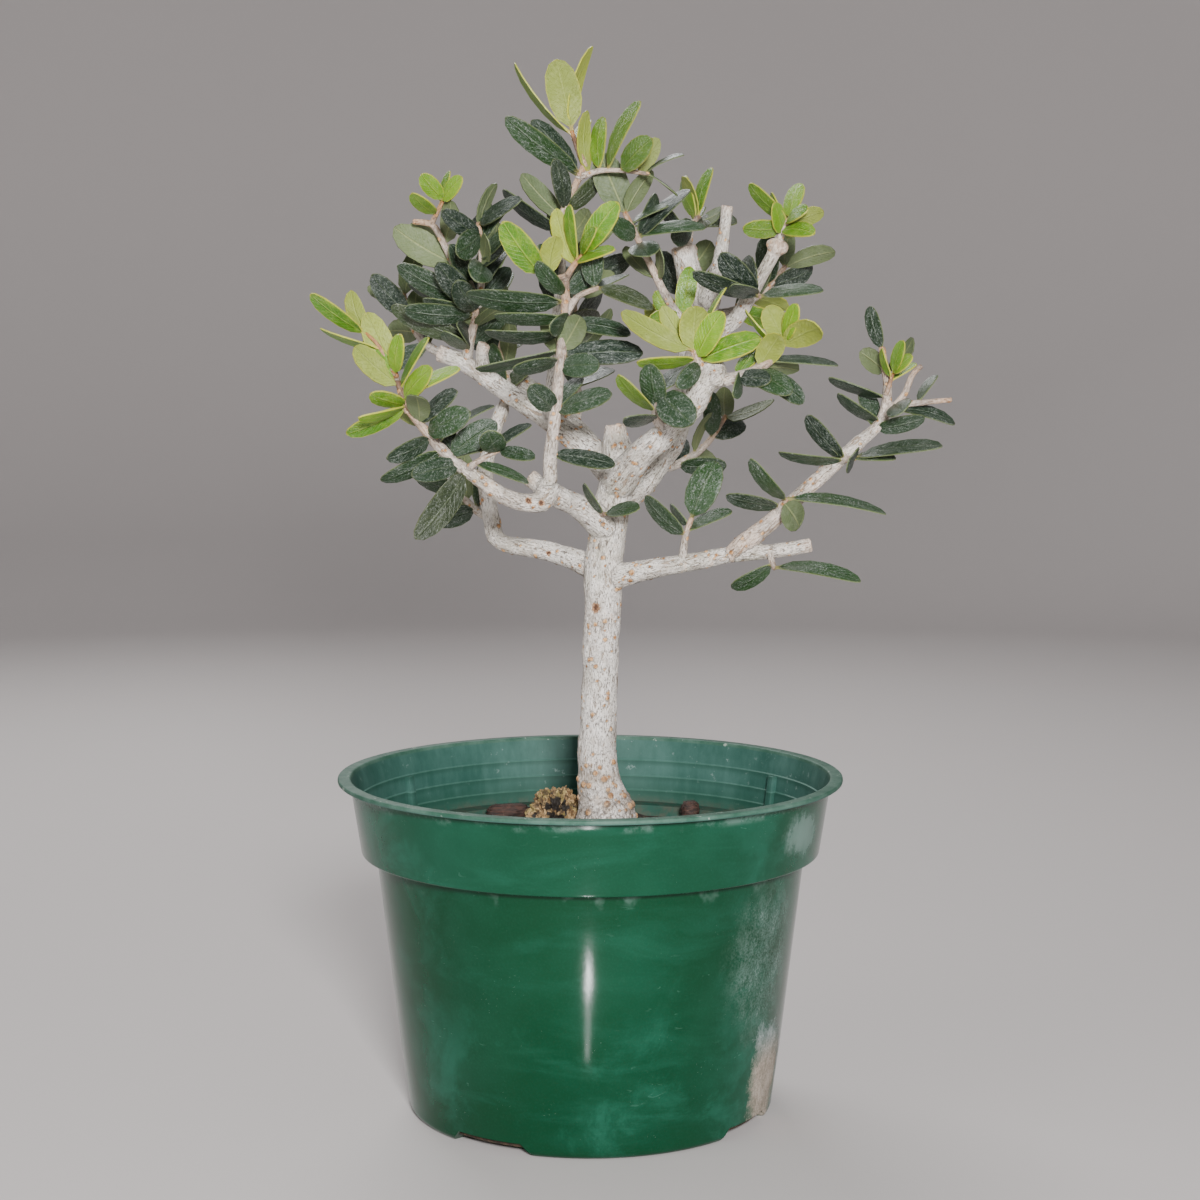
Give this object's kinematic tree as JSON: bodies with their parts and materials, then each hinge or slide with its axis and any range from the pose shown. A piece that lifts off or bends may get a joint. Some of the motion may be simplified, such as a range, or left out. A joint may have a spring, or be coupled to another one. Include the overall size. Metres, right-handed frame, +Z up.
{
  "type": "olive bonsai",
  "caption": "Small olive bonsai with a pale straight trunk, pruned limbs and leathery leaves, standing in soil in a flanged plastic nursery pot.",
  "frame": {"origin": "middle of the pot's base, on the surface that it stands on", "axes": "+Z up along the pot's axis and the trunk, -Y towards the viewer of the tree's front, +X to that viewer's right"},
  "size_m": [0.2016, 0.165, 0.3447],
  "materials": {
    "pot": "deep green moulded plastic, glossy outside with a pale haze and fine scratches, dusty and paler on the lip and inside",
    "soil": "dark crumbly bark and peat potting mix",
    "lump": "crusty tan lump with dark cavities",
    "chip": "dark reddish bark chips",
    "bark": "pale grey bark with fine dark dashes, orange-tan raised pores and pinkish cut ends",
    "mature_leaf": "leathery dark blue-green leaves with whitish specks and a pale midrib, grey-green beneath, on pale grey twigs",
    "new_leaf": "bright yellow-green new leaves with a yellow rim, on tan twigs"
  },
  "bodies": {
    "root": {"back_crown_stem": "mature_leaf", "back_left_stem": "mature_leaf", "back_low_stem": "mature_leaf", "back_mid_stem": "mature_leaf", "back_right_stem": "mature_leaf", "back_side_stem": "mature_leaf", "bark_chip": "chip", "center_stem": "mature_leaf", "center_stem_tip": "new_leaf", "crusty_lump": "lump", "front_sprout": "mature_leaf", "leader": "mature_leaf", "leader_tip": "new_leaf", "left_low_side": "mature_leaf", "left_low_stem": "mature_leaf", "left_mid_end": "mature_leaf", "left_mid_stem": "mature_leaf", "left_reach_stem": "mature_leaf", "left_reach_tip": "new_leaf", "pot": "pot", "right_crown_stem": "mature_leaf", "right_end_leaf": "mature_leaf", "right_fork_leaves": "mature_leaf", "right_inner_stem": "mature_leaf", "right_knob_shoot": "mature_leaf", "right_knob_stem": "mature_leaf", "right_knob_tip": "new_leaf", "right_low_leaves": "mature_leaf", "right_low_stem": "mature_leaf", "right_low_tip": "new_leaf", "right_low_twig": "mature_leaf", "right_mid_stem": "mature_leaf", "right_side_stem": "mature_leaf", "right_upper_stem": "mature_leaf", "round_chip": "chip", "soil": "soil", "upper_left_stem": "mature_leaf", "upper_left_tip": "new_leaf", "upper_mid_stem": "mature_leaf", "wood": "bark"}
  },
  "joints": []
}
